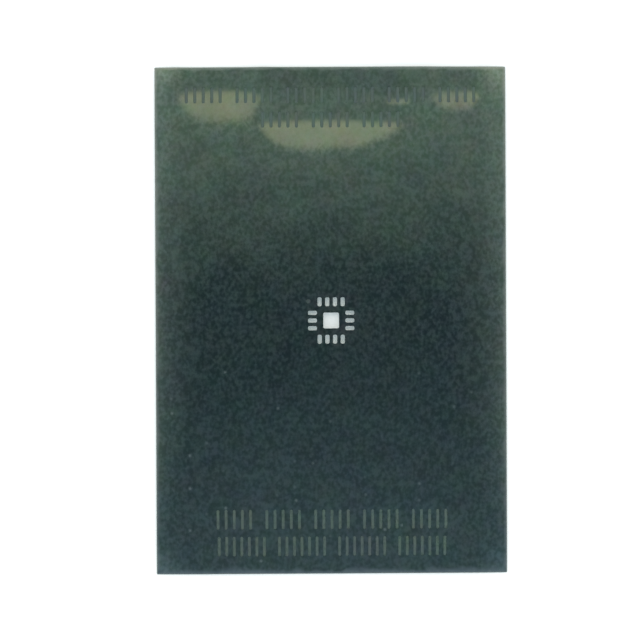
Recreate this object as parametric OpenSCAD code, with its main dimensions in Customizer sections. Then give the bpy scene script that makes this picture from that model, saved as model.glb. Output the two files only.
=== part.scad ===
// Solder paste stencil: one laser-cut sheet of steel foil that lies flat.
// The apertures in the middle match the lands of a small square leadless package.
// Half-etched marks on the top face stop short of the underside.
// Millimetres. The origin is at the middle of the underside, +Y towards the head of the sheet, +Z up.

/* [Sheet] */
// Width of the sheet, along X
sheet_w = 22.86; // [12:0.01:40]
// Length of the sheet, along Y
sheet_l = 33.02; // [20:0.01:60]
// Thickness of the foil
foil_t = 0.10; // [0.08:0.01:0.30]
// Radius of the sheet's four corners
sheet_corner_r = 0.10; // [0.05:0.01:1.50]

/* [Apertures] */
// Distance between neighbouring leads of the package
lead_pitch = 0.50; // [0.40:0.01:0.80]
// Leads on the sides at the head and the foot
end_leads = 4; // [2:1:8]
// Leads on the left and right sides
side_leads = 3; // [2:1:8]
// Package body past the outermost lead's half pitch, at each corner
body_corner = 0.25; // [0.20:0.01:0.50]
// How far a lead aperture reaches out past the body
lead_toe = 0.255; // [0.10:0.005:0.40]
// Width of a lead aperture
lead_w = 0.27; // [0.15:0.01:0.32]
// Length of a lead aperture
lead_l = 0.58; // [0.40:0.01:0.70]
// Side of the square aperture in the middle
thermal_w = 1.02; // [0.40:0.01:1.40]
// Radius of every aperture's corners
aperture_r = 0.10; // [0.03:0.01:0.20]

/* [Half-etch] */
// Depth of every half-etched mark below the top face
etch_depth = 0.03; // [0.01:0.005:0.05]
// Width of one mark in a row
mark_w = 0.20; // [0.10:0.01:0.30]
// Diameter of the dot beside the first lead
dot_d = 0.30; // [0.15:0.01:0.50]
// Middle of the dot past the package body's left side
dot_gap = 0.23; // [0.20:0.01:0.60]

/* [Rows of marks at the head] */
// Length of a mark at the head
head_mark_l = 1.05; // [0.70:0.01:1.30]
// Sheet's edge at the head to the middle of the wide row
head_margin = 1.84; // [1:0.01:4]
// Wide row to the short row below it, middle to middle
head_line = 1.60; // [1.40:0.01:3]
// Least distance from the sheet's sides to the wide row
wide_row_inset = 1.70; // [1:0.05:6]
// Spacing of the marks in the wide row
wide_row_step = 0.55; // [0.40:0.01:1.20]
// Marks that stand together in the wide row
wide_row_group = 5; // [1:1:8]
// Least distance from the sheet's sides to the short row
short_row_inset = 6.60; // [1:0.05:9]
// Spacing of the marks in the short row
short_row_step = 0.55; // [0.40:0.01:1.20]
// Marks that stand together in the short row
short_row_group = 5; // [1:1:8]

/* [Rows of marks at the foot] */
// Length of a mark at the foot
foot_mark_l = 1.30; // [0.70:0.01:1.50]
// Sheet's edge at the foot to the middle of the lower row
foot_margin = 1.81; // [1:0.01:4]
// Lower row to the upper row, middle to middle
foot_line = 1.76; // [1.60:0.01:3]
// Least distance from the sheet's sides to both rows
foot_row_inset = 3.60; // [1:0.05:9]
// Spacing of the marks in the upper row
upper_row_step = 0.53; // [0.40:0.01:1.20]
// Marks that stand together in the upper row
upper_row_group = 5; // [1:1:8]
// Spacing of the marks in the lower row
lower_row_step = 0.49; // [0.40:0.01:1.20]
// Marks that stand together in the lower row
lower_row_group = 7; // [1:1:8]

/* [Hidden] */

$fn = 48;
steel = [0.30, 0.37, 0.34];

// The etch's cutters run past the top face by this much
overrun = foil_t;
// A corner's radius is at most this share of the shorter side
fullest_round = 0.45;

// The square body that the lands belong to, sized by its fuller sides
body_w = max(end_leads, side_leads) * lead_pitch + 2 * body_corner;
// Package's centre to the middle of a lead aperture
lead_centre = body_w / 2 + lead_toe - lead_l / 2;

// Middles of the rows of marks, along Y
wide_row_y = sheet_l / 2 - head_margin;
short_row_y = wide_row_y - head_line;
lower_row_y = -sheet_l / 2 + foot_margin;
upper_row_y = lower_row_y + foot_line;

// Middles of n things in a line, evenly spaced about 0
function spread(n, step) = [for (i = [0:n - 1]) (i - (n - 1) / 2) * step];

// Places in a row that holds as many whole groups as fit, with one blank place between groups
function places_in_row(inset, step, group) =
    let (room = sheet_w - 2 * inset - mark_w,
         groups = floor((room / step + 2) / (group + 1)))
    max(groups, 1) * (group + 1) - 1;

// Rectangle with round corners: two crossed bars and a disc in each corner
module round_rectangle(w, l, corner_r) {
    r = min(corner_r, fullest_round * min(w, l));
    square([w - 2 * r, l], center = true);
    square([w, l - 2 * r], center = true);
    for (x = [-1, 1], y = [-1, 1])
        translate([x * (w / 2 - r), y * (l / 2 - r)])
            circle(r = r);
}

// Bar with half-round ends, standing along Y
module round_bar(w, l) {
    square([w, l - w], center = true);
    for (y = [-1, 1])
        translate([0, y * (l - w) / 2])
            circle(d = w);
}

// Lead apertures of the side at the head
module lead_row(leads) {
    for (x = spread(leads, lead_pitch))
        translate([x, lead_centre])
            round_rectangle(lead_w, lead_l, aperture_r);
}

// Everything that is cut right through the foil
module apertures() {
    for (turn = [0, 180])
        rotate(turn) lead_row(end_leads);
    for (turn = [90, 270])
        rotate(turn) lead_row(side_leads);
    round_rectangle(thermal_w, thermal_w, aperture_r);
}

// Row of upright marks in equal groups, centred on the sheet
module mark_row(y, inset, step, group, mark_l) {
    xs = spread(places_in_row(inset, step, group), step);
    for (i = [0:len(xs) - 1])
        if (i % (group + 1) != group)
            translate([xs[i], y])
                round_bar(mark_w, mark_l);
}

// Everything that is etched part of the way down from the top face
module half_etched_marks() {
    mark_row(wide_row_y, wide_row_inset, wide_row_step, wide_row_group, head_mark_l);
    mark_row(short_row_y, short_row_inset, short_row_step, short_row_group, head_mark_l);
    mark_row(upper_row_y, foot_row_inset, upper_row_step, upper_row_group, foot_mark_l);
    mark_row(lower_row_y, foot_row_inset, lower_row_step, lower_row_group, foot_mark_l);
    translate([-body_w / 2 - dot_gap, body_w / 2])
        circle(d = dot_d);
}

module stencil_sheet() {
    color(steel)
        difference() {
            linear_extrude(foil_t)
                difference() {
                    round_rectangle(sheet_w, sheet_l, sheet_corner_r);
                    apertures();
                }
            translate([0, 0, foil_t - etch_depth])
                linear_extrude(etch_depth + overrun)
                    half_etched_marks();
        }
}

stencil_sheet();
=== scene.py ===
"""Steel foil paste stencil: a bowed sheet with apertures and half-etched marks, on a white stage."""

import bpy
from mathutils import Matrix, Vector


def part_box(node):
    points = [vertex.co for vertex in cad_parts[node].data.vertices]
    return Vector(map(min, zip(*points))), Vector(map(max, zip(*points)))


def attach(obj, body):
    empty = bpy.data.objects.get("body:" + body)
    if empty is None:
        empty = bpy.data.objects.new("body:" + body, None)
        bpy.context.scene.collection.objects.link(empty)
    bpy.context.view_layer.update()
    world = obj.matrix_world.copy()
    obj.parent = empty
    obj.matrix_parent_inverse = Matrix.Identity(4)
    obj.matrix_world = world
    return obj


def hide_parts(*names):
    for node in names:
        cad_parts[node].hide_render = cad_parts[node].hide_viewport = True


bl_info = {
    "name": "Paste Stencil",
    "version": (1, 0, 0),
    "blender": (4, 5, 0),
    "location": "3D View > Sidebar > Stencil",
    "description": "Builds a steel foil paste stencil and a white studio around it",
    "category": "Add Mesh",
}

import math

import bpy
from bpy.props import FloatProperty, FloatVectorProperty, IntProperty, IntVectorProperty, PointerProperty
from mathutils import Matrix

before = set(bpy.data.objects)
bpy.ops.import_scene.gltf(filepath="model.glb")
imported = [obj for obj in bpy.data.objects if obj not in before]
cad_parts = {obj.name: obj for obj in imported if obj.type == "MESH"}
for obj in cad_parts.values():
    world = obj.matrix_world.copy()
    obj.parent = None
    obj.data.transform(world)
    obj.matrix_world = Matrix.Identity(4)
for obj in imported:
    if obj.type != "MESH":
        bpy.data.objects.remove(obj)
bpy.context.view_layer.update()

SHEET_NODE = "stencil_sheet"
SHEET_LOW, SHEET_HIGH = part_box(SHEET_NODE)
SHEET_SIZE = SHEET_HIGH - SHEET_LOW

IMAGE_PIXELS = 640
MM = 0.001
MERGE_DISTANCE = 1e-7
# Straight sides of the round floor
FLOOR_SIDES = 96
# How many times nearer or farther than the sheet the camera sees
CLIP_SPAN = 100


def number(name, description, value, **options):
    """A property with one number."""
    return FloatProperty(name=name, description=description, default=value, **options)


def numbers(name, description, *values, **options):
    """A property with one number for each of several like things."""
    size = len(values)
    return FloatVectorProperty(name=name, description=description, default=values, size=size, **options)


def counts(name, description, *values):
    """A property with one whole number for each of several like things."""
    return IntVectorProperty(name=name, description=description, default=values, size=len(values))


def length(name, description, millimetres):
    """A length property, given in millimetres and kept in metres."""
    return number(name, description, millimetres * MM, unit="LENGTH", precision=6)


def lengths(name, description, *millimetres):
    """A property with one length for each of several like things."""
    metres = [value * MM for value in millimetres]
    return numbers(name, description, *metres, unit="LENGTH", precision=6)


def angle(name, description, degrees):
    """An angle property, given in degrees."""
    return number(name, description, math.radians(degrees), unit="ROTATION")


def span(name, description, start, end):
    """A property with two angles from straight up, given in degrees."""
    return numbers(name, description, math.radians(start), math.radians(end), unit="ROTATION")


def share(name, description, value):
    """A plain number from 0 to 1."""
    return number(name, description, value, min=0.0, max=1.0)


def colour(name, description, red, green, blue):
    """A linear colour property, which a light level may take past 1."""
    return numbers(name, description, red, green, blue, min=0.0, subtype="COLOR")


class SheetSettings(bpy.types.PropertyGroup):
    """Outline and mesh of the foil"""

    width: length("Width", "Sheet across, along X", SHEET_SIZE.x / MM)
    length: length("Length", "Sheet from foot to head, along Y", SHEET_SIZE.y / MM)
    thickness: length("Thickness", "Gauge of the foil", SHEET_SIZE.z / MM)
    corner_radius: length("Corner Radius", "Radius of the outline's corners", 0.06)
    rim_round: length("Rim Round", "Rounding of the cut rim", 0.04)
    cell: length("Cell", "Spacing of the sheet's mesh", 0.17)
    cell_pull: share("Cell Pull", "How much the mesh is drawn together at the rim", 0.7)
    cell_reach: length("Cell Reach", "How far from the rim the pull reaches", 0.5)


class ApertureSettings(bpy.types.PropertyGroup):
    """Openings that are cut through the foil"""

    lead_pitch: length("Lead Pitch", "Distance between neighbouring slots", 0.50)
    end_leads: IntProperty(name="End Leads", description="Slots at the head and the foot", default=4)
    side_leads: IntProperty(name="Side Leads", description="Slots on the left and right", default=3)
    lead_centre: length("Lead Centre", "Pattern's centre to the middle of a slot", 1.215)
    lead_width: length("Lead Width", "Width of a slot", 0.27)
    lead_length: length("Lead Length", "Length of a slot", 0.58)
    thermal_width: length("Thermal Width", "Side of the square opening in the middle", 1.02)
    corner_radius: length("Corner Radius", "Radius of every opening's corners", 0.10)


class MarkSettings(bpy.types.PropertyGroup):
    """Half-etched marks, in rows that are listed from the head to the foot"""

    depth: length("Etch Depth", "Depth of the half-etch below the top face", 0.03)
    width: length("Width", "Width of one mark", 0.20)
    row_y: lengths("Row Places", "Middle of each row along Y", 14.67, 13.07, -12.94, -14.70)
    row_step: lengths("Row Steps", "Spacing of the marks in each row", 0.55, 0.55, 0.53, 0.49)
    row_length: lengths("Mark Lengths", "Length of a mark in each row", 1.05, 1.05, 1.30, 1.30)
    row_group: counts("Group Sizes", "Marks that stand together in each row", 5, 5, 5, 7)
    row_groups: counts("Groups", "Groups of marks in each row", 6, 3, 5, 4)
    dot_place: lengths("Dot Place", "Middle of the first lead's dot", -1.48, 1.25)
    dot_diameter: length("Dot Diameter", "Diameter of the first lead's dot", 0.30)


class WarpSettings(bpy.types.PropertyGroup):
    """How the thin foil stands away from flat; the dents are listed from left to right"""

    crown: length("Crown", "Height of the middle over the long edges", 0.30)
    end_reach: length("End Reach", "Length over which the foot and the head come down", 13.0)
    head_drop: share("Head Drop", "Drop of the head, as a share of the crown", 0.5)
    roll: length("Roll", "Drop of the rolled rim at the sides and the foot", 0.015)
    roll_reach: length("Roll Reach", "Width of the rolled rim", 0.60)
    corner_drop: length("Corner Drop", "Drop of the bent corners", 0.08)
    corner_reach: length("Corner Reach", "Reach of a bent corner along the rim", 2.8)
    wave: length("Wave", "Height of the foil's faint waves", 0.05)
    wave_size: length("Wave Size", "Size of the foil's faint waves", 5.0)
    curl: angle("Head Curl", "Upward tilt at the middle of the head", 1.9)
    curl_y: length("Curl Start", "Start of the head's curl along Y", 14.7)
    curl_soft: length("Curl Softness", "Rounding where the curl starts", 0.8)
    dent_x: lengths("Dent X", "Middle of each dent along X", -7.20, 0.05, 4.40, 8.10)
    dent_y: lengths("Dent Y", "Crease of each dent along Y", 14.98, 13.02, 14.40, 14.92)
    dent_half: lengths("Dent Half Width", "Half of each dent's width", 2.75, 4.80, 0.90, 1.65)
    dent_flank: lengths("Dent Flank", "Flank of each dent, towards the foot", 2.05, 1.96, 0.35, 1.20)
    dent_soft: lengths("Dent Softness", "Rounding where each dent runs out", 1.40, 0.70, 0.40, 0.65)
    dent_skew: numbers("Dent Skew", "How far each dent leans to the left", 0.0, 0.2, 0.0, -0.2)
    dent_droop: numbers("Dent Droop", "Droop of each crease's ends over its flank", 0.18, 0.1, 0.35, 0.2)
    dent_back: numbers("Dent Back", "Slope of each dent's back over its flank's", 0.0, 0.10, 0.10, 0.04)
    dent_crease: length("Dent Crease", "Rounding of the dents' creases", 0.36)
    dent_slope: angle("Dent Slope", "Tilt of a dent's flank", 4.0)
    pressed_depth: length("Pressed Depth", "Depth of a dent at which its grain is pressed flat", 0.05)


class FinishSettings(bpy.types.PropertyGroup):
    """Colours and textures of the steel"""

    foil_colour: colour("Foil", "Colour of the rolled faces", 0.086, 0.120, 0.098)
    etched_colour: colour("Etched", "Colour of the half-etched marks", 0.097, 0.139, 0.124)
    dot_colour: colour("Dot", "Colour of the first lead's lightly etched dot", 0.062, 0.090, 0.086)
    cut_colour: colour("Cut", "Colour of the laser-cut walls", 0.13, 0.15, 0.14)
    # Lighter rim: burnished wear, and partly a painted edge highlight
    rim_wear_and_highlight_colour: colour("Rim", "Colour of the burnished rim, with its painted highlight", 0.25, 0.28, 0.26)
    heat_colour: colour("Heat", "Tint from the laser's heat beside the apertures", 1.16, 1.02, 1.04)
    speck_colour: colour("Specks", "Colour of small bright specks", 0.18, 0.22, 0.21)
    foil_roughness: share("Foil Roughness", "Roughness of the rolled faces", 0.12)
    etched_roughness: share("Etched Roughness", "Roughness of the half-etched marks", 0.60)
    cut_roughness: share("Cut Roughness", "Roughness of the laser-cut walls", 0.34)
    rim_roughness: share("Rim Roughness", "Roughness of the burnished rim", 0.20)
    rim_wear_and_highlight_strength: share("Rim Strength", "How much of the steel the burnished rim and its painted highlight hide", 0.75)
    grain_size: length("Grain Size", "Size of the strongest rolled grain", 0.24)
    grain_depth: length("Grain Depth", "Depth of the rolled grain", 0.00012)
    grain_colour: colour("Grain", "How much lighter the lightest grain is", 0.34, 0.295, 0.37)
    grain_pressed: share("Pressed Grain", "How much of the grain is lost in a dent", 0.50)
    grain_dull: share("Grain Dullness", "Shine that the lightest grain loses", 0.065)
    tint_size: length("Tint Size", "Size of the faint patches of colour", 1.6)
    tint_strength: share("Tint Strength", "Strength of the faint patches of colour", 0.44)
    speck_spacing: length("Speck Spacing", "Spacing of the specks", 1.15)
    speck_radius: length("Speck Radius", "Radius of a speck", 0.18)
    speck_start: length("Speck Start", "Where the specks start to show, along Y", 6.0)
    speck_full: length("Speck Full", "Where the specks are at full strength, along Y", -6.0)
    speck_strength: share("Speck Strength", "How much of the steel the brightest speck hides", 0.66)
    speck_dull: share("Speck Dullness", "Shine that the steel loses under a speck", 0.6)
    rim_reach: length("Rim Reach", "Reach of the rim's wear and painted highlight at the sides and the head", 0.26)
    foot_reach: length("Foot Reach", "Reach of the rim's wear and painted highlight at the foot", 0.45)
    # Painted sheen: the steel is made lighter along the sides and in the corners
    painted_sheen_reach: length("Painted Sheen Reach", "Reach of the painted sheen, from the rim", 2.4)
    painted_sheen_strength: share("Painted Sheen Strength", "How much lighter the painted sheen makes the steel", 0.27)
    heat_reach: length("Heat Reach", "Reach of the heat tint past the apertures", 0.45)


class StageSettings(bpy.types.PropertyGroup):
    """White floor, light tent and camera"""

    floor_colour: colour("Floor", "Colour of the floor", 0.86, 0.87, 0.87)
    floor_lift: colour("Floor Lift", "Light added to the floor where it is seen", 0.19, 0.24, 0.24)
    floor_radius: length("Floor Radius", "Radius of the round floor", 1500.0)
    floor_gap: length("Floor Gap", "Room between the floor and the sheet", 0.01)
    opening_colour: colour("Opening", "Light from the tent's opening overhead", 0.155, 0.212, 0.304)
    front_colour: colour("Front", "Light from the tent past the sheet's foot", 0.366, 0.461, 0.616)
    back_colour: colour("Back", "Light from the tent past the sheet's head", 0.82, 0.925, 0.89)
    softbox_colour: colour("Softbox", "Light from the softbox above the back", 2.31, 1.98, 1.61)
    side_colour: colour("Sides", "Light from the tent's slopes at the left and right", 1.0, 1.0, 1.0)
    band_colour: colour("Band", "Light from the band of lamps halfway up the tent", 1.50, 1.50, 1.50)
    wall_colour: colour("Wall", "Light from the tent's wall near the floor", 0.60, 0.61, 0.62)
    front_span: span("Front Span", "Start and end of the front's rise", 0.3, 13.5)
    back_span: span("Back Span", "Start and end of the back's rise", 0.8, 8.3)
    back_ease: number("Back Ease", "How late in its rise the back gains its light", 1.3)
    softbox_span: span("Softbox Span", "Start and end of the softbox's rise", 11.2, 16.5)
    side_span: span("Side Span", "Start and end of the slopes' rise", 9.0, 38.0)
    band_span: span("Band Span", "Start and end of the band's rise", 24.0, 58.0)
    wall_span: span("Wall Span", "Start and end of the wall's rise", 60.0, 80.0)
    side_lean: share("Side Lean", "Lean of the tent's sides towards the back", 0.3)
    lens: number("Lens", "Focal length, in millimetres", 85.0)
    scale: number("Scale", "Picture elements to a millimetre", 15.34)
    centre_pixel: numbers("Centre Pixel", "Where the sheet's centre shows", 331.05, 320.55)
    roll: angle("Roll", "Turn of the sheet in the picture", 0.26)
    lean_right: angle("Lean Right", "Camera's lean to the right of straight down", 0.5)
    lean_down: angle("Lean Down", "Camera's lean towards the foot", 0.2)


class StencilSettings(bpy.types.PropertyGroup):
    """Everything that a user would change"""

    sheet: PointerProperty(type=SheetSettings)
    apertures: PointerProperty(type=ApertureSettings)
    marks: PointerProperty(type=MarkSettings)
    warp: PointerProperty(type=WarpSettings)
    finish: PointerProperty(type=FinishSettings)
    stage: PointerProperty(type=StageSettings)


# Helpers for node trees

FLOAT = "NodeSocketFloat"
INTEGER = "NodeSocketInt"
COLOUR = "NodeSocketColor"
GEOMETRY = "NodeSocketGeometry"
MATERIAL = "NodeSocketMaterial"

# Middle of what a Noise Texture gives
NOISE_MIDDLE = 0.5


class Field:
    """A number in a node tree; arithmetic on it adds Math nodes to the tree."""

    def __init__(self, tree, socket):
        self.tree = tree
        self.socket = socket

    def math(self, operation, *values):
        node = add(self.tree, "ShaderNodeMath", operation=operation)
        for target, value in zip(node.inputs, values):
            feed(self.tree, target, value)
        return Field(self.tree, node.outputs[0])

    def __add__(self, other):
        return self.math("ADD", self, other)

    def __sub__(self, other):
        return self.math("SUBTRACT", self, other)

    def __rsub__(self, other):
        return self.math("SUBTRACT", other, self)

    def __mul__(self, other):
        return self.math("MULTIPLY", self, other)

    def __truediv__(self, other):
        return self.math("DIVIDE", self, other)

    def __rtruediv__(self, other):
        return self.math("DIVIDE", other, self)

    def __mod__(self, other):
        return self.math("MODULO", self, other)

    def __pow__(self, power):
        return self.math("POWER", self, power)

    def __neg__(self):
        return self * -1.0

    def __abs__(self):
        return self.math("ABSOLUTE", self)

    def above(self, other):
        """1 where the number is greater, and 0 elsewhere."""
        return self.math("GREATER_THAN", self, other)

    def below(self, other):
        """1 where the number is less, and 0 elsewhere."""
        return self.math("LESS_THAN", self, other)

    def ramp(self, low, high, smooth=True):
        """Rise from 0 at low to 1 at high, which may lie below low."""
        kind = "SMOOTHSTEP" if smooth else "LINEAR"
        node = add(self.tree, "ShaderNodeMapRange", interpolation_type=kind)
        for target, value in zip(node.inputs, (self, low, high)):
            feed(self.tree, target, value)
        return Field(self.tree, node.outputs["Result"])


def feed(tree, socket, value):
    """Links a socket to another node's output, or sets its plain value."""
    if isinstance(value, Field):
        value = value.socket
    if isinstance(value, bpy.types.NodeSocket):
        tree.links.new(value, socket)
    else:
        socket.default_value = value


def add(tree, kind, inputs=None, **settings):
    """Adds a node, sets its options and feeds its inputs by name or number."""
    node = tree.nodes.new(kind)
    for option, value in settings.items():
        setattr(node, option, value)
    for name, value in (inputs or {}).items():
        feed(tree, node.inputs[name], value)
    return node


def made(tree, kind, inputs=None, **settings):
    """Adds a node and returns its first output."""
    return add(tree, kind, inputs, **settings).outputs[0]


def vector_math(tree, operation, *values):
    """Adds a Vector Math node and returns its vector."""
    node = add(tree, "ShaderNodeVectorMath", operation=operation)
    for socket, value in zip(node.inputs, values):
        feed(tree, socket, value)
    return node.outputs["Vector"]


def scale_vector(tree, vector, factor):
    """A vector times a number."""
    node = add(tree, "ShaderNodeVectorMath", {0: vector, "Scale": factor}, operation="SCALE")
    return node.outputs["Vector"]


def vector_length(tree, vector):
    """Length of a vector."""
    node = add(tree, "ShaderNodeVectorMath", {0: vector}, operation="LENGTH")
    return Field(tree, node.outputs["Value"])


def combine(tree, x=0.0, y=0.0, z=0.0):
    """A vector from three numbers."""
    return add(tree, "ShaderNodeCombineXYZ", {"X": x, "Y": y, "Z": z}).outputs["Vector"]


def split(tree, vector):
    """The three numbers of a vector."""
    return [Field(tree, socket) for socket in add(tree, "ShaderNodeSeparateXYZ", {0: vector}).outputs]


def noise(tree, place, size, detail, roughness=0.5):
    """A Noise Texture's outputs, with coarsest features of a given size."""
    inputs = {"Vector": place, "Scale": 1.0 / size, "Detail": detail, "Roughness": roughness}
    return add(tree, "ShaderNodeTexNoise", inputs).outputs


def floats(*names):
    """A node group's sockets for plain numbers, by name."""
    return dict.fromkeys(names, FLOAT)


def new_group(name, tree_type, inputs, outputs):
    """Starts a node group; returns the tree, what it is given and the sockets of its result."""
    tree = bpy.data.node_groups.new(name, tree_type)
    for socket_name, socket_type in outputs.items():
        tree.interface.new_socket(socket_name, in_out="OUTPUT", socket_type=socket_type)
    for socket_name, socket_type in inputs.items():
        tree.interface.new_socket(socket_name, in_out="INPUT", socket_type=socket_type)
    given = dict(tree.nodes.new("NodeGroupInput").outputs.items())
    for socket_name, socket_type in inputs.items():
        if socket_type in (FLOAT, INTEGER):
            given[socket_name] = Field(tree, given[socket_name])
    return tree, given, tree.nodes.new("NodeGroupOutput").inputs


def place_group(tree, group, inputs):
    """Puts a node group into a tree, feeds it and returns its first output."""
    kind = "GeometryNodeGroup" if tree.bl_idname == "GeometryNodeTree" else "ShaderNodeGroup"
    return made(tree, kind, inputs, node_tree=group)


# Geometry Nodes of the sheet

# Settings that the sheet's node tree takes as inputs, under their labels
SHEET_INPUTS = ("width", "length", "thickness", "corner_radius", "cell", "cell_pull", "cell_reach")
WARP_INPUTS = (
    "crown", "end_reach", "head_drop", "roll", "roll_reach", "corner_drop", "corner_reach",
    "wave", "wave_size", "curl", "curl_y", "curl_soft", "dent_slope", "pressed_depth",
)
# Sizes of the prism that every cutter is made from
PRISM_SIZES = ("Width", "Length", "Radius", "Bottom", "Top")
# Points along a prism's round corner
CORNER_POINTS = 8
# Power of a bow that is flat in the middle and steep at its sides
FLAT_BOW = 4.0
# A hair's breadth, as a share of the thickness
HAIR = 0.01
# A face between these shares of the etch's depth is etched, and a wall below them is cut
ETCH_FROM = 0.25
ETCH_TO = 1.25
# A face is a wall where its normal rises less than this
WALL_RISE = 0.5
# Faces across the rounded rim
RIM_SEGMENTS = 3
# Faces that meet at more than this have a sharp edge between them
SHARP_ANGLE = math.radians(40.0)


def join(tree, pieces):
    """Several geometries as one."""
    node = add(tree, "GeometryNodeJoinGeometry")
    for piece in pieces:
        tree.links.new(piece, node.inputs[0])
    return node.outputs[0]


def moved(tree, piece, vector):
    """A geometry in another place."""
    return made(tree, "GeometryNodeTransform", {"Geometry": piece, "Translation": vector})


def store(tree, piece, name, value, data_type, domain):
    """A geometry with a named attribute."""
    inputs = {"Geometry": piece, "Name": name, "Value": value}
    return made(tree, "GeometryNodeStoreNamedAttribute", inputs, data_type=data_type, domain=domain)


def position(tree):
    """Place of each point, as three numbers."""
    return split(tree, made(tree, "GeometryNodeInputPosition"))


def round_prism_group():
    """Upright prism on a rectangle with round corners, about the origin."""
    prism = {"Prism": GEOMETRY}
    tree, given, result = new_group("Round Prism", "GeometryNodeTree", floats(*PRISM_SIZES), prism)
    sides = {"Width": given["Width"], "Height": given["Length"]}
    quad = made(tree, "GeometryNodeCurvePrimitiveQuadrilateral", sides)
    corners = {"Curve": quad, "Radius": given["Radius"], "Limit Radius": True, "Count": CORNER_POINTS}
    fillet = made(tree, "GeometryNodeFilletCurve", corners, mode="POLY")
    fill = made(tree, "GeometryNodeFillCurve", {"Curve": fillet}, mode="NGONS")
    base = moved(tree, fill, combine(tree, z=given["Bottom"]))
    height = given["Top"] - given["Bottom"]
    rise = {"Mesh": base, "Offset": (0.0, 0.0, 1.0), "Offset Scale": height, "Individual": False}
    walls = add(tree, "GeometryNodeExtrudeMesh", rise).outputs["Mesh"]
    floor = made(tree, "GeometryNodeFlipFaces", {"Mesh": base})
    seams = {"Geometry": join(tree, [walls, floor]), "Distance": MERGE_DISTANCE}
    feed(tree, result["Prism"], made(tree, "GeometryNodeMergeByDistance", seams))
    return tree


def row_points(tree, count, step, y):
    """Points in a line along X, evenly spaced about 0."""
    inputs = {
        "Count": count,
        "Start Location": combine(tree, x=(count - 1.0) * step * -0.5, y=y),
        "Offset": combine(tree, x=step),
    }
    return made(tree, "GeometryNodeMeshLine", inputs)


def lead_row_group(prism):
    """One side's row of slot cutters, turned about the pattern's centre."""
    sockets = {"Leads": INTEGER, **floats("Turn", "Pitch", "Centre", *PRISM_SIZES)}
    tree, given, result = new_group("Lead Row", "GeometryNodeTree", sockets, {"Cutters": GEOMETRY})
    cutter = place_group(tree, prism, {name: given[name] for name in PRISM_SIZES})
    points = row_points(tree, given["Leads"], given["Pitch"], given["Centre"])
    row = made(tree, "GeometryNodeInstanceOnPoints", {"Points": points, "Instance": cutter})
    turn = {"Geometry": row, "Rotation": combine(tree, z=given["Turn"])}
    feed(tree, result["Cutters"], made(tree, "GeometryNodeTransform", turn))
    return tree


def mark_row_group(prism):
    """A row of etch cutters in equal groups, with one blank place between groups."""
    cutter_sizes = ("Width", "Length", "Bottom", "Top")
    sockets = {"Groups": INTEGER, "Group": INTEGER, **floats("Step", "Y", *cutter_sizes)}
    tree, given, result = new_group("Mark Row", "GeometryNodeTree", sockets, {"Cutters": GEOMETRY})
    sizes = {name: given[name] for name in cutter_sizes}
    cutter = place_group(tree, prism, {"Radius": given["Width"] * 0.5, **sizes})
    period = given["Group"] + 1.0
    points = row_points(tree, given["Groups"] * period - 1.0, given["Step"], given["Y"])
    index = Field(tree, made(tree, "GeometryNodeInputIndex"))
    marked = (index % period).below(given["Group"])
    inputs = {"Points": points, "Selection": marked, "Instance": cutter}
    feed(tree, result["Cutters"], made(tree, "GeometryNodeInstanceOnPoints", inputs))
    return tree


def dent_group():
    """Depth of one dent over its slope: a fold whose flank runs out in a bow towards the foot."""
    sockets = floats("X", "Y", "Half Width", "Skew", "Flank", "Droop", "Back", "Crease", "Softness")
    reaches = floats("Reach", "Flank Reach")
    tree, given, result = new_group("Foil Dent", "GeometryNodeTree", sockets, reaches)
    x, y, _ = position(tree)
    aside = (x - given["X"]) / given["Half Width"]
    inside = 1.0 - aside * aside
    aside = aside + given["Skew"] * inside.math("MAXIMUM", inside, 0.0)
    run_out = abs(aside) ** FLAT_BOW
    flank = given["Flank"] * (1.0 - run_out)
    along = y - given["Y"] + given["Flank"] * run_out * given["Droop"]
    fold = along.math("SMOOTH_MIN", along, -along * given["Back"], given["Crease"])
    reach = flank + fold
    reach = reach.math("SMOOTH_MAX", reach, 0.0, given["Softness"])
    feed(tree, result["Reach"], reach)
    feed(tree, result["Flank Reach"], reach * along.ramp(given["Crease"], 0.0))
    return tree


def plate(tree, given):
    """Flat plate on z = 0 in square cells, which are drawn together at the rim."""
    halves = {"X": given["Width"] * 0.5, "Y": given["Length"] * 0.5}
    cells = {}
    for axis, half in halves.items():
        count = half * 2.0 / given["Cell"]
        cells[f"Vertices {axis}"] = count.math("ROUND", count) + 1.0
    size = combine(tree, given["Width"], given["Length"], given["Thickness"])
    cube = made(tree, "GeometryNodeMeshCube", {"Size": size, "Vertices Z": 2, **cells})
    x, y, z = position(tree)
    drawn = []
    for place, half in zip((x, y), halves.values()):
        inset = half - abs(place)
        ease = -inset / given["Cell Reach"]
        pull = ease.math("EXPONENT", ease) * given["Cell Pull"]
        drawn.append(place.math("SIGN", place) * (half - inset * (1.0 - pull)))
    target = combine(tree, *drawn, z + given["Thickness"] * 0.5)
    return made(tree, "GeometryNodeSetPosition", {"Geometry": cube, "Position": target})


def heights(given, bottom):
    """Where a cutter starts, and its end at one thickness above the foil."""
    return {"Bottom": bottom, "Top": given["Thickness"] * 2.0}


def trimmed(tree, given, prism, piece):
    """The plate with round corners; the outline's prism stands a hair outside its sides."""
    hair = given["Thickness"] * HAIR
    outline = {
        "Width": given["Width"] + hair,
        "Length": given["Length"] + hair,
        "Radius": given["Corner Radius"],
        **heights(given, -given["Thickness"]),
    }
    node = add(tree, "GeometryNodeMeshBoolean", operation="INTERSECT", solver="MANIFOLD")
    for part in (piece, place_group(tree, prism, outline)):
        tree.links.new(part, node.inputs["Mesh 2"])
    return node.outputs["Mesh"]


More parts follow.
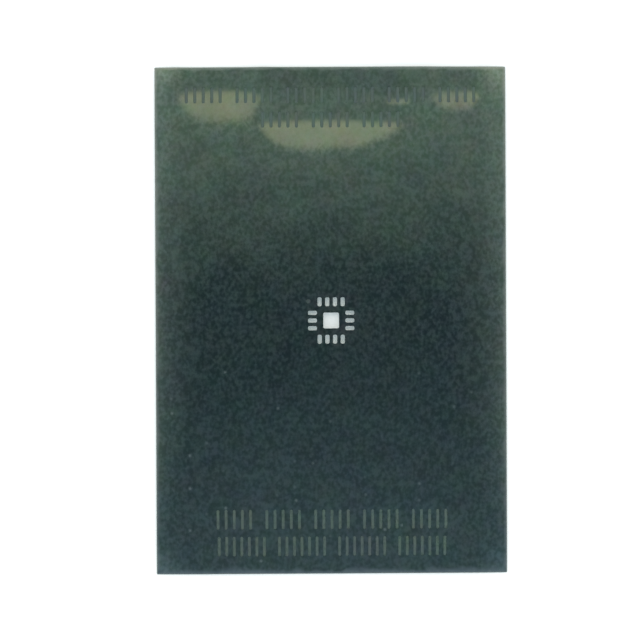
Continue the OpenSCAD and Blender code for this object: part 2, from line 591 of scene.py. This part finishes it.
def aperture_cutters(tree, given, apertures, prism):
    """Prisms for the slots on four sides and for the square in the middle."""
    lead_row = lead_row_group(prism)
    through = {"Radius": apertures.corner_radius, **heights(given, -given["Thickness"])}
    row = {"Pitch": apertures.lead_pitch, "Centre": apertures.lead_centre}
    slot = {"Width": apertures.lead_width, "Length": apertures.lead_length, **through}
    cutters = []
    for quarter, leads in enumerate((apertures.end_leads, apertures.side_leads) * 2):
        turn = quarter * math.pi / 2
        cutters.append(place_group(tree, lead_row, {"Leads": leads, "Turn": turn, **row, **slot}))
    side = apertures.thermal_width
    cutters.append(place_group(tree, prism, {"Width": side, "Length": side, **through}))
    return join(tree, cutters)


def mark_cutters(tree, given, marks, prism):
    """Prisms for the rows of half-etched marks and for the first lead's dot."""
    mark_row = mark_row_group(prism)
    depth = heights(given, given["Thickness"] - given["Etch Depth"])
    cutters = []
    rows = zip(marks.row_groups, marks.row_group, marks.row_step, marks.row_y, marks.row_length)
    for groups, group, step, y, mark_length in rows:
        row = {"Groups": groups, "Group": group, "Step": step, "Y": y}
        mark = {"Width": marks.width, "Length": mark_length, **depth}
        cutters.append(place_group(tree, mark_row, {**row, **mark}))
    across = marks.dot_diameter
    dot = place_group(tree, prism, {"Width": across, "Length": across, "Radius": across / 2, **depth})
    cutters.append(moved(tree, dot, (*marks.dot_place, 0.0)))
    return join(tree, cutters)


def cut_away(tree, piece, cutters):
    """A solid less its cutters."""
    solid = made(tree, "GeometryNodeRealizeInstances", {"Geometry": cutters})
    inputs = {"Mesh 1": piece, "Mesh 2": solid}
    node = add(tree, "GeometryNodeMeshBoolean", inputs, operation="DIFFERENCE", solver="MANIFOLD")
    return node.outputs["Mesh"]


def with_face_marks(tree, given, marks, piece):
    """The flat sheet with attributes for its etched faces, its cut walls and its rim's edges."""
    x, y, z = position(tree)
    facing = split(tree, made(tree, "GeometryNodeInputNormal"))
    depth = (given["Thickness"] - z) / given["Etch Depth"]
    etched = depth.above(ETCH_FROM) * depth.below(ETCH_TO)
    cut_wall = abs(facing[2]).below(WALL_RISE) * depth.above(ETCH_TO)
    off_dot = vector_math(tree, "SUBTRACT", combine(tree, x, y), (*marks.dot_place, 0.0))
    dot = etched * vector_length(tree, off_dot).below(marks.dot_diameter)
    for name, chosen in (("etched", etched), ("dot", dot), ("cut_wall", cut_wall)):
        piece = store(tree, piece, name, chosen, "BOOLEAN", "FACE")
    radius = given["Corner Radius"]
    core = combine(tree, given["Width"] * 0.5 - radius, given["Length"] * 0.5 - radius)
    past_core = vector_math(tree, "SUBTRACT", combine(tree, abs(x), abs(y)), core)
    outward = vector_length(tree, vector_math(tree, "MAXIMUM", past_core, (0.0, 0.0, 0.0)))
    on_outline = (radius - outward).below(given["Thickness"] * (2.0 * HAIR))
    on_face = abs(z - given["Thickness"] * 0.5).above(given["Thickness"] * (0.5 - HAIR))
    return store(tree, piece, "rim_round", on_outline * on_face, "FLOAT", "EDGE")


def dent_depth(tree, given, warp):
    """Depth of all the dents below the foil's bow, and their depth on their flanks alone."""
    dent = dent_group()
    depth = 0.0
    flank_depth = 0.0
    for index in range(len(warp.dent_x)):
        shape = {
            "X": warp.dent_x[index],
            "Y": warp.dent_y[index],
            "Half Width": warp.dent_half[index],
            "Skew": warp.dent_skew[index],
            "Flank": warp.dent_flank[index],
            "Droop": warp.dent_droop[index],
            "Back": warp.dent_back[index],
            "Crease": warp.dent_crease,
            "Softness": warp.dent_soft[index],
        }
        reaches = add(tree, "GeometryNodeGroup", shape, node_tree=dent).outputs
        depth = Field(tree, reaches["Reach"]) + depth
        flank_depth = Field(tree, reaches["Flank Reach"]) + flank_depth
    slope = depth.math("TANGENT", given["Dent Slope"])
    return depth * slope, flank_depth * slope


def sheet_height(tree, given):
    """Height of the foil over flat: its bow, rolled rim, bent corners, faint waves and curled head."""
    x, y, _ = position(tree)
    half_width = given["Width"] * 0.5
    half_length = given["Length"] * 0.5
    aside = x / half_width
    across = 1.0 - abs(aside) ** FLAT_BOW
    bow = 1.0
    for inset, drop in ((half_length + y, 1.0), (half_length - y, given["Head Drop"])):
        left = (inset / given["End Reach"]).ramp(1.0, 0.0, smooth=False)
        bow = bow - left * left * drop
    side_inset = half_width - abs(x)
    inset = side_inset.math("SMOOTH_MIN", side_inset, half_length + y, given["Roll Reach"])
    left = (inset / given["Roll Reach"]).ramp(1.0, 0.0, smooth=False)
    roll = given["Roll"] * (1.0 - left * left)
    end_inset = half_length - abs(y)
    left = ((side_inset + end_inset) / given["Corner Reach"]).ramp(1.0, 0.0, smooth=False)
    bent = given["Corner Drop"] * left * left
    place = made(tree, "GeometryNodeInputPosition")
    wave = Field(tree, noise(tree, place, given["Wave Size"], detail=1.0)["Fac"]) - NOISE_MIDDLE
    past_curl = y - given["Curl Start"]
    curl = past_curl.math("SMOOTH_MAX", past_curl, 0.0, given["Curl Softness"])
    curl = curl * curl.math("TANGENT", given["Head Curl"]) * (1.0 - aside * aside)
    return across * bow * (given["Crown"] + wave * given["Wave"]) + curl + roll - bent


def shaded(tree, given, piece):
    """Smooth faces that meet in sharp edges, each with its finish."""
    piece = made(tree, "GeometryNodeSetShadeSmooth", {"Geometry": piece, "Shade Smooth": True})
    bend = Field(tree, add(tree, "GeometryNodeInputMeshEdgeAngle").outputs["Unsigned Angle"])
    inputs = {"Geometry": piece, "Selection": bend.above(SHARP_ANGLE), "Shade Smooth": False}
    piece = made(tree, "GeometryNodeSetShadeSmooth", inputs, domain="EDGE")
    piece = made(tree, "GeometryNodeRealizeInstances", {"Geometry": piece})
    piece = made(tree, "GeometryNodeSetMaterial", {"Geometry": piece, "Material": given["Foil"]})
    for name, material in (("cut_wall", "Cut Wall"), ("etched", "Etched"), ("dot", "Dot")):
        chosen = made(tree, "GeometryNodeInputNamedAttribute", {"Name": name}, data_type="BOOLEAN")
        inputs = {"Geometry": piece, "Selection": chosen, "Material": given[material]}
        piece = made(tree, "GeometryNodeSetMaterial", inputs)
    return piece


def sheet_tree(settings, sizes, finishes):
    """The whole sheet: plate, apertures, marks, warp and finishes."""
    sockets = {**floats(*sizes), **dict.fromkeys(finishes, MATERIAL)}
    tree, given, result = new_group("Foil Sheet", "GeometryNodeTree", sockets, {"Sheet": GEOMETRY})
    prism = round_prism_group()
    sheet = trimmed(tree, given, prism, plate(tree, given))
    sheet = cut_away(tree, sheet, aperture_cutters(tree, given, settings.apertures, prism))
    sheet = cut_away(tree, sheet, mark_cutters(tree, given, settings.marks, prism))
    sheet = with_face_marks(tree, given, settings.marks, sheet)
    depth, flank_depth = dent_depth(tree, given, settings.warp)
    pressed = flank_depth.ramp(0.0, given["Pressed Depth"])
    sheet = store(tree, sheet, "pressed", pressed, "FLOAT", "POINT")
    offset = combine(tree, z=sheet_height(tree, given) - depth)
    sheet = made(tree, "GeometryNodeSetPosition", {"Geometry": sheet, "Offset": offset})
    feed(tree, result["Sheet"], shaded(tree, given, sheet))
    return tree


# Steel finishes

# Size of each grain noise, as a share of the strongest one's, and its weight
GRAIN_OCTAVES = ((3.9, 0.45), (2.1, 0.95), (1.0, 1.80), (0.55, 1.00))
# The grain's scale along each axis, which draws it out along Y
GRAIN_SCALE = (1.0, 0.82, 1.0)
# Grain sizes of the cut walls and of the marks, as shares of the rolled grain's
CUT_GRAIN = 0.25
ETCHED_GRAIN = 0.5
# Grain that is neither lighter nor darker than its finish
GRAIN_MIDDLE = 0.45
# Share of a finish's roughness that is even, and what the lightest grain adds
EVEN_ROUGHNESS = 0.8
GRAIN_ROUGHNESS = 0.4
# The higher this is, the fewer specks are bright
SPECK_RARITY = 8.0
# Length of the rim's worn stretches, as a multiple of its reach
RIM_STRETCH = 5.0
# Noise at which the heat tint starts, and at which it is full
HEAT_PATCHES = (0.35, 0.68)
WHITE = (1.0, 1.0, 1.0)


def object_place(tree):
    """Object coordinates, which are the part's own frame."""
    return add(tree, "ShaderNodeTexCoord").outputs["Object"]


def grain_group():
    """Mottled grain of the rolled steel, from 0 to 1: noise of several sizes, drawn out along Y."""
    tree, given, result = new_group("Rolled Grain", "ShaderNodeTree", floats("Grain Size"), floats("Grain"))
    drawn = vector_math(tree, "MULTIPLY", object_place(tree), GRAIN_SCALE)
    grain = NOISE_MIDDLE
    for size, weight in GRAIN_OCTAVES:
        octave = Field(tree, noise(tree, drawn, given["Grain Size"] * size, detail=0.0)["Fac"])
        grain = (octave - NOISE_MIDDLE) * weight + grain
    feed(tree, result["Grain"], grain.ramp(0.0, 1.0, smooth=False))
    return tree


def tint_group():
    """Faint patches of colour in the oxide film, as factors about 1."""
    sockets = floats("Patch Size", "Strength")
    tree, given, result = new_group("Oxide Tint", "ShaderNodeTree", sockets, {"Tint": COLOUR})
    patches = noise(tree, object_place(tree), given["Patch Size"], detail=5.0, roughness=0.7)["Color"]
    centred = vector_math(tree, "SUBTRACT", patches, (NOISE_MIDDLE,) * 3)
    tint = vector_math(tree, "ADD", scale_vector(tree, centred, given["Strength"]), WHITE)
    feed(tree, result["Tint"], tint)
    return tree


def speck_group():
    """Mask of small specks of dust, few of them bright, that fade out towards the head."""
    sockets = floats("Spacing", "Radius", "Start", "Full")
    tree, given, result = new_group("Bright Specks", "ShaderNodeTree", sockets, floats("Mask"))
    place = object_place(tree)
    inputs = {"Vector": place, "Scale": 1.0 / given["Spacing"]}
    cells = add(tree, "ShaderNodeTexVoronoi", inputs, voronoi_dimensions="2D").outputs
    chance = split(tree, cells["Color"])[0]
    bright = chance ** SPECK_RARITY
    inside = Field(tree, cells["Distance"]).ramp(given["Radius"] / given["Spacing"], 0.0)
    y = split(tree, place)[1]
    feed(tree, result["Mask"], inside * bright * y.ramp(given["Start"], given["Full"]))
    return tree


def rim_wear_and_highlight_group():
    """Mask of the lighter rim along the sheet's outline: burnished wear, and partly a painted edge
    highlight.
    """
    sockets = floats("Half Width", "Half Length", "Reach", "Foot Reach")
    tree, given, result = new_group("Rim Wear And Highlight", "ShaderNodeTree", sockets, floats("Mask"))
    place = object_place(tree)
    x, y, _ = split(tree, place)
    stretches = noise(tree, place, given["Reach"] * RIM_STRETCH, detail=2.0)["Fac"]
    uneven = Field(tree, stretches) / NOISE_MIDDLE
    inset = x.math("MINIMUM", given["Half Width"] - abs(x), given["Half Length"] - y)
    rim = inset.ramp(given["Reach"] * uneven, 0.0)
    foot = (given["Half Length"] + y).ramp(given["Foot Reach"] * uneven, 0.0)
    feed(tree, result["Mask"], rim.math("MAXIMUM", rim, foot))
    return tree


def painted_sheen_group():
    """Painted sheen: the steel is made lighter along the sides, from 0 to 1, and up to 2 in the corners."""
    sockets = floats("Half Width", "Half Length", "Reach")
    tree, given, result = new_group("Painted Sheen", "ShaderNodeTree", sockets, floats("Haze"))
    x, y, _ = split(tree, object_place(tree))
    sides = (given["Half Width"] - abs(x)).ramp(given["Reach"], 0.0)
    ends = (given["Half Length"] - abs(y)).ramp(given["Reach"], 0.0)
    feed(tree, result["Haze"], sides * (ends + 1.0))
    return tree


def heat_group():
    """Mask of the laser's heat around the apertures."""
    sockets = floats("Pattern Half", "Reach")
    tree, given, result = new_group("Laser Heat", "ShaderNodeTree", sockets, floats("Mask"))
    place = object_place(tree)
    x, y, _ = split(tree, place)
    out = x.math("MAXIMUM", abs(x), abs(y)) - given["Pattern Half"]
    patchy = Field(tree, noise(tree, place, given["Reach"], detail=1.0)["Fac"]).ramp(*HEAT_PATCHES)
    feed(tree, result["Mask"], out.ramp(given["Reach"], 0.0) * patchy)
    return tree


def blend_colour(tree, factor, first, second):
    """Mixes two colours by a factor."""
    node = add(tree, "ShaderNodeMix", data_type="RGBA")
    sockets = [socket for socket in node.inputs if socket.enabled]
    for socket, value in zip(sockets, (factor, first, second)):
        feed(tree, socket, value)
    return next(socket for socket in node.outputs if socket.enabled)


def opaque(rgb):
    """A colour with full alpha, for a colour socket."""
    return (*rgb, 1.0)


def shared_effects(settings):
    """What every finish has beside its grain: each effect's node group and the group's inputs."""
    finish, sheet, apertures = settings.finish, settings.sheet, settings.apertures
    pattern_half = apertures.lead_centre + apertures.lead_length / 2
    halves = {"Half Width": sheet.width / 2, "Half Length": sheet.length / 2}
    specks = {"Spacing": finish.speck_spacing, "Radius": finish.speck_radius}
    fade = {"Start": finish.speck_start, "Full": finish.speck_full}
    rim = {**halves, "Reach": finish.rim_reach, "Foot Reach": finish.foot_reach}
    return {
        "tint": (tint_group(), {"Patch Size": finish.tint_size, "Strength": finish.tint_strength}),
        "specks": (speck_group(), {**specks, **fade}),
        "rim": (rim_wear_and_highlight_group(), rim),
        "haze": (painted_sheen_group(), {**halves, "Reach": finish.painted_sheen_reach}),
        "heat": (heat_group(), {"Pattern Half": pattern_half, "Reach": finish.heat_reach}),
    }


def steel_material(name, base, roughness, grain_size, finish, grain_tree, effects):
    """A steel finish with grain, oxide tint, heat tint, specks, painted sheen along the sides, and a
    burnished rim that is partly a painted highlight.
    """
    material = bpy.data.materials.new(name)
    material.use_nodes = True
    tree = material.node_tree
    shader = tree.nodes["Principled BSDF"]
    grain = Field(tree, place_group(tree, grain_tree, {"Grain Size": grain_size}))
    placed = {effect: place_group(tree, *fed) for effect, fed in effects.items()}
    specks, rim, haze = (Field(tree, placed[effect]) for effect in ("specks", "rim", "haze"))
    specks = specks * finish.speck_strength

    steel = vector_math(tree, "MULTIPLY", placed["tint"], tuple(base))
    pressed = Field(tree, add(tree, "ShaderNodeAttribute", attribute_name="pressed").outputs["Fac"])
    uneven = (grain - GRAIN_MIDDLE) * (1.0 - pressed * finish.grain_pressed)
    lighter = scale_vector(tree, tuple(finish.grain_colour), uneven)
    steel = vector_math(tree, "MULTIPLY_ADD", steel, lighter, steel)
    # Painted sheen: the steel is made lighter along the sides and in the corners
    steel = scale_vector(tree, steel, haze * finish.painted_sheen_strength + 1.0)
    heated = vector_math(tree, "MULTIPLY", steel, tuple(finish.heat_colour))
    steel = blend_colour(tree, placed["heat"], steel, heated)
    # Lighter rim along the outline: burnished wear, and partly a painted edge highlight
    steel = blend_colour(tree, rim * finish.rim_wear_and_highlight_strength, steel, opaque(finish.rim_wear_and_highlight_colour))
    steel = blend_colour(tree, specks, steel, opaque(finish.speck_colour))
    feed(tree, shader.inputs["Base Color"], steel)

    dull = grain * finish.grain_dull
    feed(tree, shader.inputs["Metallic"], 1.0 - dull.math("MAXIMUM", dull, specks * finish.speck_dull))
    worn = grain * (GRAIN_ROUGHNESS * roughness) + EVEN_ROUGHNESS * roughness
    feed(tree, shader.inputs["Roughness"], worn.math("MAXIMUM", worn, rim * finish.rim_roughness))
    bump = add(tree, "ShaderNodeBump", {"Height": grain, "Distance": finish.grain_depth, "Strength": 1.0})
    feed(tree, shader.inputs["Normal"], bump.outputs["Normal"])
    return material


def steel_finishes(settings):
    """The finishes of the sheet, by the names that the sheet's tree uses."""
    finish = settings.finish
    shared = (finish, grain_group(), shared_effects(settings))
    size = finish.grain_size
    looks = {
        "Foil": ("rolled_foil", finish.foil_colour, finish.foil_roughness, size),
        "Cut Wall": ("laser_cut_wall", finish.cut_colour, finish.cut_roughness, size * CUT_GRAIN),
        "Etched": ("half_etched", finish.etched_colour, finish.etched_roughness, size * ETCHED_GRAIN),
        "Dot": ("lightly_etched", finish.dot_colour, finish.etched_roughness, size * ETCHED_GRAIN),
    }
    return {socket: steel_material(*look, *shared) for socket, look in looks.items()}


# Operators


def labelled(group, names):
    """Some of a group's settings, by their labels."""
    return {group.bl_rna.properties[name].name: getattr(group, name) for name in names}


def set_inputs(modifier, values):
    """Sets a Geometry Nodes modifier's inputs, each by its socket's identifier."""
    for item in modifier.node_group.interface.items_tree:
        if item.item_type == "SOCKET" and item.in_out == "INPUT":
            modifier[item.identifier] = values[item.name]


def plain_copy(source, name):
    """The evaluated object as a plain mesh in a new object; the source and its modifiers go."""
    depsgraph = bpy.context.evaluated_depsgraph_get()
    mesh = bpy.data.meshes.new_from_object(source.evaluated_get(depsgraph))
    bpy.data.objects.remove(source)
    mesh.name = name
    # The cutters have no finish of their own, which leaves an empty slot
    for index in reversed(range(len(mesh.materials))):
        if mesh.materials[index] is None:
            mesh.materials.pop(index=index)
    piece = bpy.data.objects.new(name, mesh)
    bpy.context.scene.collection.objects.link(piece)
    return piece


def rest_at(mesh, height):
    """Moves a mesh up or down until its lowest point is at a height."""
    lowest = min(vertex.co.z for vertex in mesh.vertices)
    mesh.transform(Matrix.Translation((0.0, 0.0, height - lowest)))


class STENCIL_OT_foil_sheet(bpy.types.Operator):
    """Build the foil sheet with its apertures, half-etched marks, bow and dents"""

    bl_idname = "stencil.foil_sheet"
    bl_label = "Foil Sheet"

    def execute(self, context):
        settings = context.scene.stencil
        sizes = {**labelled(settings.sheet, SHEET_INPUTS), **labelled(settings.warp, WARP_INPUTS)}
        sizes["Etch Depth"] = settings.marks.depth
        finishes = steel_finishes(settings)
        carrier = bpy.data.objects.new("sheet_nodes", bpy.data.meshes.new("sheet_nodes"))
        context.scene.collection.objects.link(carrier)
        nodes = carrier.modifiers.new("Foil Sheet", "NODES")
        nodes.node_group = sheet_tree(settings, sizes, finishes)
        set_inputs(nodes, {**sizes, **finishes})
        rim = carrier.modifiers.new("Rim Round", "BEVEL")
        rim.limit_method = "WEIGHT"
        rim.edge_weight = "rim_round"
        rim.width = settings.sheet.rim_round
        rim.segments = RIM_SEGMENTS
        piece = plain_copy(carrier, "foil_sheet")
        rest_at(piece.data, SHEET_LOW.z)
        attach(piece, "root")
        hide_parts(SHEET_NODE)
        return {"FINISHED"}


def floor_material(stage):
    """Matt white floor, lifted to white where the camera, metal or glass sees it."""
    material = bpy.data.materials.new("white_floor")
    material.use_nodes = True
    tree = material.node_tree
    shader = tree.nodes["Principled BSDF"]
    shader.inputs["Base Color"].default_value = opaque(stage.floor_colour)
    shader.inputs["Roughness"].default_value = 1.0
    shader.inputs["Specular IOR Level"].default_value = 0.0
    shader.inputs["Emission Color"].default_value = opaque(stage.floor_lift)
    path = add(tree, "ShaderNodeLightPath").outputs
    seen = Field(tree, path["Is Camera Ray"])
    for ray in ("Is Glossy Ray", "Is Transmission Ray"):
        seen = seen.math("MAXIMUM", seen, path[ray])
    feed(tree, shader.inputs["Emission Strength"], seen)
    return material


def between(field, limits):
    """Even rise from 0 to 1 between two angles from straight up, for the sine of an angle."""
    start, end = (math.sin(limit) for limit in limits)
    return field.ramp(start, end, smooth=False)


def light_tent(stage):
    """World light: a white tent, dim at its opening overhead, with a warm softbox past the head."""
    world = bpy.data.worlds.new("light_tent")
    bpy.context.scene.world = world
    world.use_nodes = True
    tree = world.node_tree
    towards = add(tree, "ShaderNodeTexCoord").outputs["Generated"]
    # The tent stands square to the camera, so it leans with it
    lean = (-math.sin(stage.lean_right), math.sin(stage.lean_down), 0.0)
    x, y, _ = split(tree, vector_math(tree, "ADD", towards, lean))
    off_zenith = vector_length(tree, combine(tree, x, y))
    steps = (
        (between(-y, stage.front_span), stage.front_colour),
        (between(y, stage.back_span) ** stage.back_ease, stage.back_colour),
        (between(y, stage.softbox_span), stage.softbox_colour),
        (between(abs(x) + y * stage.side_lean, stage.side_span), stage.side_colour),
        (between(off_zenith, stage.band_span), stage.band_colour),
        (between(off_zenith, stage.wall_span), stage.wall_colour),
    )
    light = opaque(stage.opening_colour)
    for factor, step_colour in steps:
        light = blend_colour(tree, factor, light, opaque(step_colour))
    # The camera sees the tent as the same white as the floor
    seen = add(tree, "ShaderNodeLightPath").outputs["Is Camera Ray"]
    light = blend_colour(tree, seen, light, opaque(WHITE))
    background = tree.nodes["Background"]
    feed(tree, background.inputs["Color"], light)
    background.inputs["Strength"].default_value = 1.0


def look_down(stage, sheet):
    """Camera above, at the distance, turn and slight lean that the picture shows."""
    data = bpy.data.cameras.new("overhead")
    camera = bpy.data.objects.new("overhead", data)
    bpy.context.scene.collection.objects.link(camera)
    data.lens = stage.lens
    distance = IMAGE_PIXELS * stage.lens / (data.sensor_width * stage.scale) * MM
    data.clip_start = distance / CLIP_SPAN
    data.clip_end = distance * CLIP_SPAN
    off_middle = [(pixel - IMAGE_PIXELS / 2) / stage.scale * MM for pixel in stage.centre_pixel]
    right = distance * math.tan(stage.lean_right) + off_middle[0]
    up = -distance * math.tan(stage.lean_down) - off_middle[1]
    camera.location = (-right, -up, distance + sheet.thickness)
    camera.rotation_euler = (-stage.lean_down, -stage.lean_right, -stage.roll)
    bpy.context.scene.camera = camera


class STENCIL_OT_stage(bpy.types.Operator):
    """Build the white floor, the light tent and the camera"""

    bl_idname = "stencil.stage"
    bl_label = "Stage"

    def execute(self, context):
        settings = context.scene.stencil
        stage = settings.stage
        bpy.ops.mesh.primitive_circle_add(
            vertices=FLOOR_SIDES, radius=stage.floor_radius, fill_type="NGON"
        )
        floor = context.object
        floor.name = "floor"
        floor.location.z = SHEET_LOW.z - stage.floor_gap
        floor.data.materials.append(floor_material(stage))
        light_tent(stage)
        look_down(stage, settings.sheet)
        context.scene.view_settings.view_transform = "Standard"
        return {"FINISHED"}


class STENCIL_PT_sidebar(bpy.types.Panel):
    """Lists the stencil's operators and settings"""

    bl_idname = "STENCIL_PT_sidebar"
    bl_label = "Paste Stencil"
    bl_space_type = "VIEW_3D"
    bl_region_type = "UI"
    bl_category = "Stencil"

    def draw(self, context):
        layout = self.layout
        for operator in OPERATORS:
            layout.operator(operator.bl_idname)
        settings = context.scene.stencil
        for part in ("sheet", "apertures", "marks", "warp", "finish", "stage"):
            box = layout.box()
            box.label(text=part.capitalize())
            group = getattr(settings, part)
            for name in group.bl_rna.properties.keys():
                if name not in {"rna_type", "name"}:
                    box.prop(group, name)


PARTS = (SheetSettings, ApertureSettings, MarkSettings, WarpSettings, FinishSettings, StageSettings)
OPERATORS = (STENCIL_OT_stage, STENCIL_OT_foil_sheet)
CLASSES = (*PARTS, StencilSettings, *OPERATORS, STENCIL_PT_sidebar)


def register():
    for cls in CLASSES:
        bpy.utils.register_class(cls)
    bpy.types.Scene.stencil = PointerProperty(type=StencilSettings)


def unregister():
    del bpy.types.Scene.stencil
    for cls in reversed(CLASSES):
        bpy.utils.unregister_class(cls)


def main():
    register()
    bpy.ops.stencil.stage()
    bpy.ops.stencil.foil_sheet()


if __name__ == "__main__":
    main()
